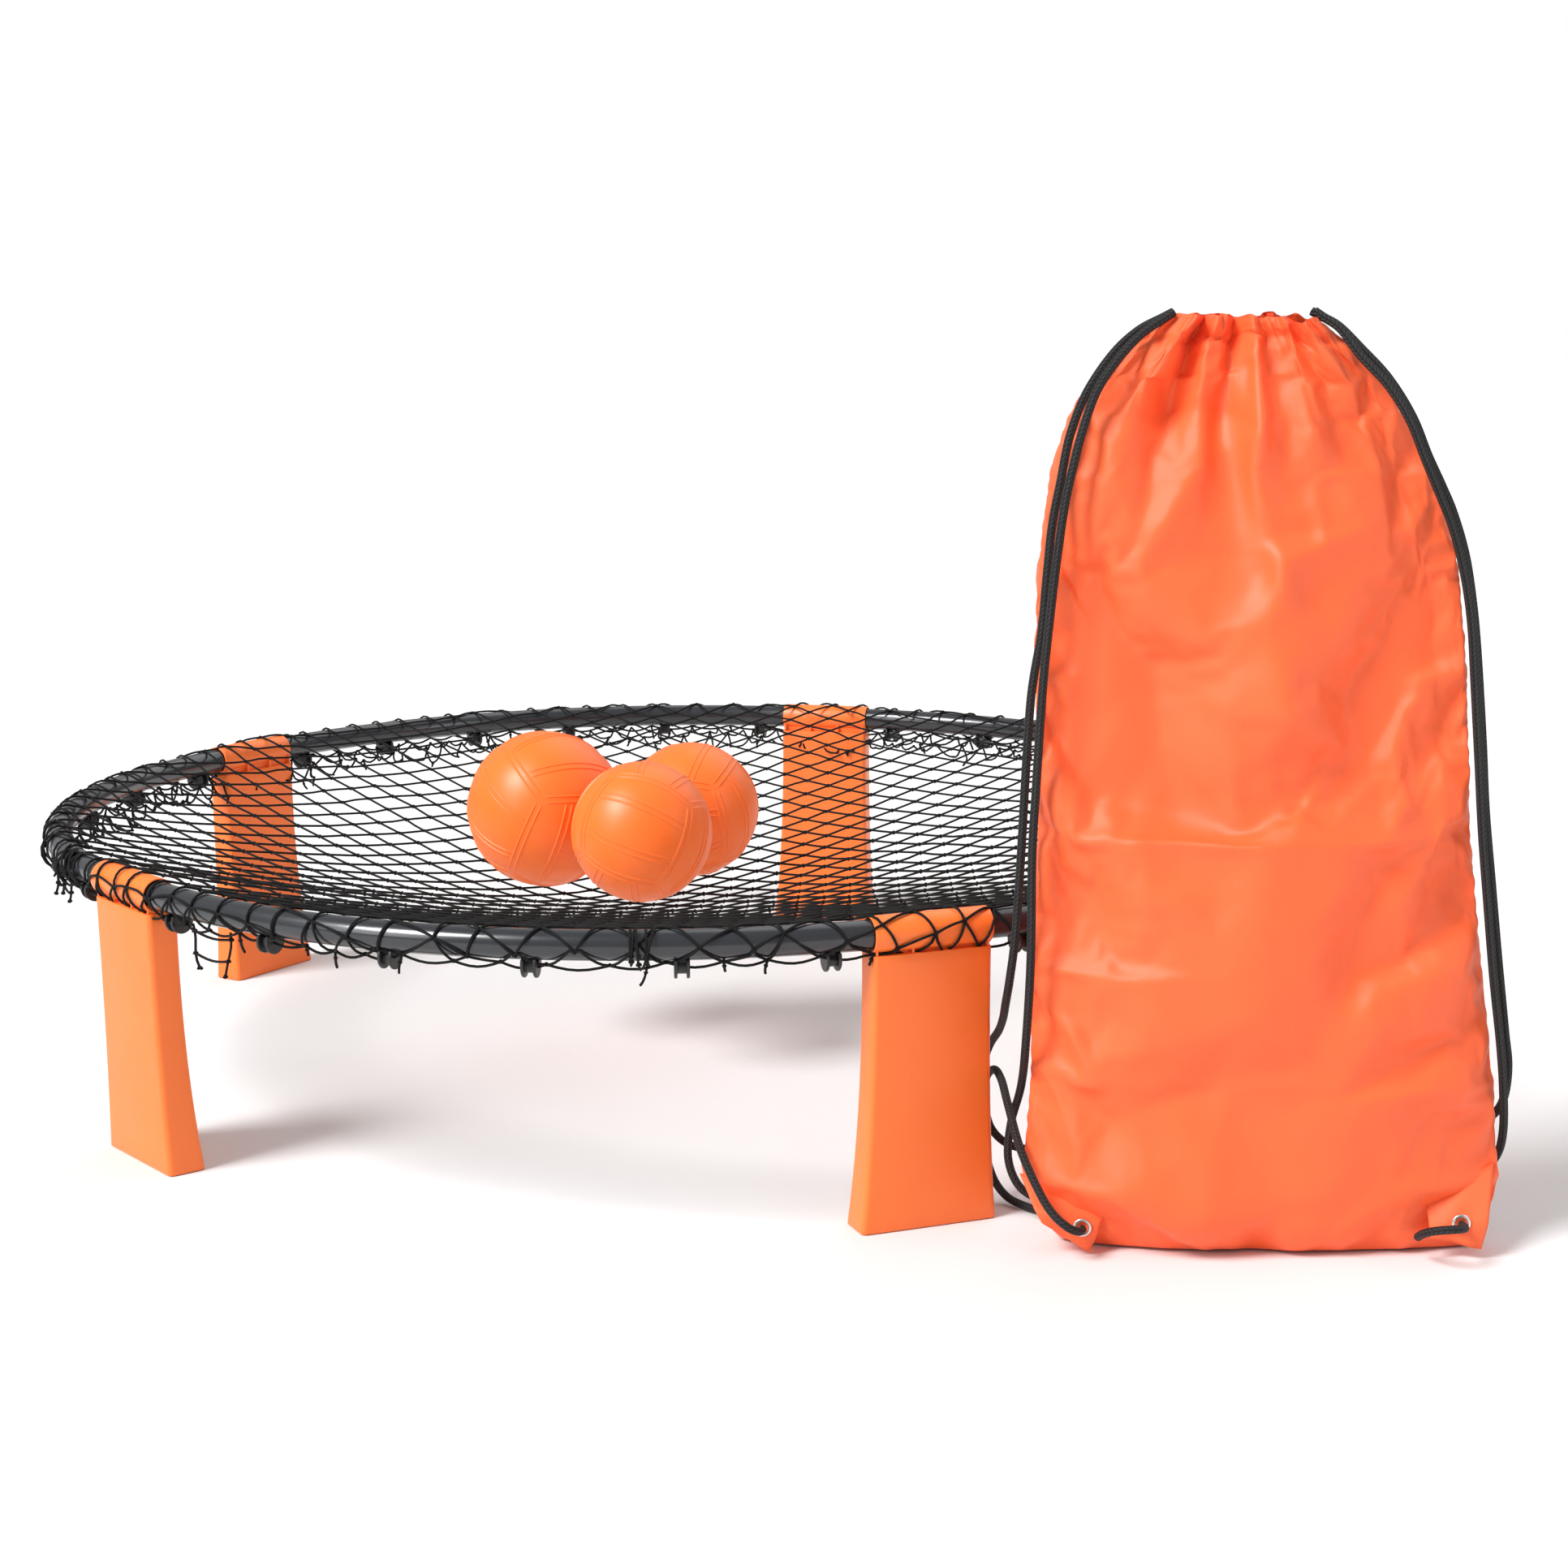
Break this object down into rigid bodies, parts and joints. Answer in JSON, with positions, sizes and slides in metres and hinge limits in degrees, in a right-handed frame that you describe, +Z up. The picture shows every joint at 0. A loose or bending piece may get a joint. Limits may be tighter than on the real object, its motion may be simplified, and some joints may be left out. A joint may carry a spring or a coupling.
{
  "type": "roundnet set",
  "caption": "Roundnet game set: black ring with a knotted net on folding orange legs, ribbed balls and an orange drawstring carry bag.",
  "frame": {"origin": "on the ground, in the middle of the box that the ring and the bag fill without the draw cords", "axes": "+X from the ring towards the bag, +Y away from the side that the bag faces, +Z up"},
  "size_m": [0.9886, 0.9452, 0.543],
  "materials": {
    "ring_tube": "satin black",
    "leg_plastic": "satin orange",
    "hook_plastic": "satin black",
    "net_twine": "braided and knotted black twine",
    "ball_vinyl": "soft matt vinyl with raised ribs",
    "valve_rubber": "matt",
    "bag_cloth": "fine woven nylon with a soft sheen",
    "cord_braid": "herringbone braid",
    "eyelet_metal": "nickel plated"
  },
  "bodies": {
    "ring": {"ring_tube_1": "ring_tube", "ring_tube_2": "ring_tube", "ring_tube_3": "ring_tube", "ring_tube_4": "ring_tube", "ring_tube_5": "ring_tube", "net_hook_01": "hook_plastic", "net_hook_02": "hook_plastic", "net_hook_03": "hook_plastic", "net_hook_04": "hook_plastic", "net_hook_05": "hook_plastic", "net_hook_06": "hook_plastic", "net_hook_07": "hook_plastic", "net_hook_08": "hook_plastic", "net_hook_09": "hook_plastic", "net_hook_10": "hook_plastic", "net_hook_11": "hook_plastic", "net_hook_12": "hook_plastic", "net_hook_13": "hook_plastic", "net_hook_14": "hook_plastic", "net_hook_15": "hook_plastic", "net_hook_16": "hook_plastic", "net_hook_17": "hook_plastic", "net_hook_18": "hook_plastic", "net_hook_19": "hook_plastic", "net_hook_20": "hook_plastic", "net_hook_21": "hook_plastic", "net_hook_22": "hook_plastic", "net_hook_23": "hook_plastic", "net_hook_24": "hook_plastic", "net_hook_25": "hook_plastic", "net_hook_26": "hook_plastic", "net_hook_27": "hook_plastic", "net_hook_28": "hook_plastic", "net_hook_29": "hook_plastic", "net_hook_30": "hook_plastic", "net": "net_twine"},
    "leg_1": {"leg_1": "leg_plastic"},
    "leg_2": {"leg_2": "leg_plastic"},
    "leg_3": {"leg_3": "leg_plastic"},
    "leg_4": {"leg_4": "leg_plastic"},
    "leg_5": {"leg_5": "leg_plastic"},
    "large_ball": {"ball_large": "ball_vinyl", "valve_large": "valve_rubber"},
    "front_ball": {"ball_front": "ball_vinyl", "valve_front": "valve_rubber"},
    "back_ball": {"ball_back": "ball_vinyl", "valve_back": "valve_rubber"},
    "bag": {"drawstring_bag": "bag_cloth", "eyelet_left": "eyelet_metal", "eyelet_right": "eyelet_metal", "cord_left_outer": "cord_braid", "cord_left_inner": "cord_braid", "cord_right_outer": "cord_braid", "cord_right_inner": "cord_braid", "cord_right_tail": "cord_braid"}
  },
  "joints": [
    {"name": "leg_fold_1", "type": "hinge", "parent": "ring", "child": "leg_1", "pos_m": [0.15611, -0.40481, 0.1833], "axis": [0.9128, 0.4083, 0], "range_deg": [0, 65]},
    {"name": "leg_fold_2", "type": "hinge", "parent": "ring", "child": "leg_2", "pos_m": [0.41688, 0.04869, 0.1833], "axis": [-0.1063, 0.9943, 0], "range_deg": [0, 65]},
    {"name": "leg_fold_3", "type": "hinge", "parent": "ring", "child": "leg_3", "pos_m": [0.06616, 0.43684, 0.1833], "axis": [-0.9785, 0.2062, 0], "range_deg": [0, 65]},
    {"name": "leg_fold_4", "type": "hinge", "parent": "ring", "child": "leg_4", "pos_m": [-0.41137, 0.22323, 0.1833], "axis": [-0.4985, -0.8669, 0], "range_deg": [0, 65]},
    {"name": "leg_fold_5", "type": "hinge", "parent": "ring", "child": "leg_5", "pos_m": [-0.35578, -0.29694, 0.1833], "axis": [0.6704, -0.742, 0], "range_deg": [0, 65]},
    {"name": "large_ball_lift", "type": "slide", "parent": "ring", "child": "large_ball", "axis": [0, 0, 1], "range_m": [0, 0.25]},
    {"name": "front_ball_lift", "type": "slide", "parent": "ring", "child": "front_ball", "axis": [0, 0, 1], "range_m": [0, 0.25]},
    {"name": "back_ball_lift", "type": "slide", "parent": "ring", "child": "back_ball", "axis": [0, 0, 1], "range_m": [0, 0.25]},
    {"name": "bag_move", "type": "slide", "parent": "ring", "child": "bag", "axis": [1, 0, 0], "range_m": [0, 0.3]}
  ]
}
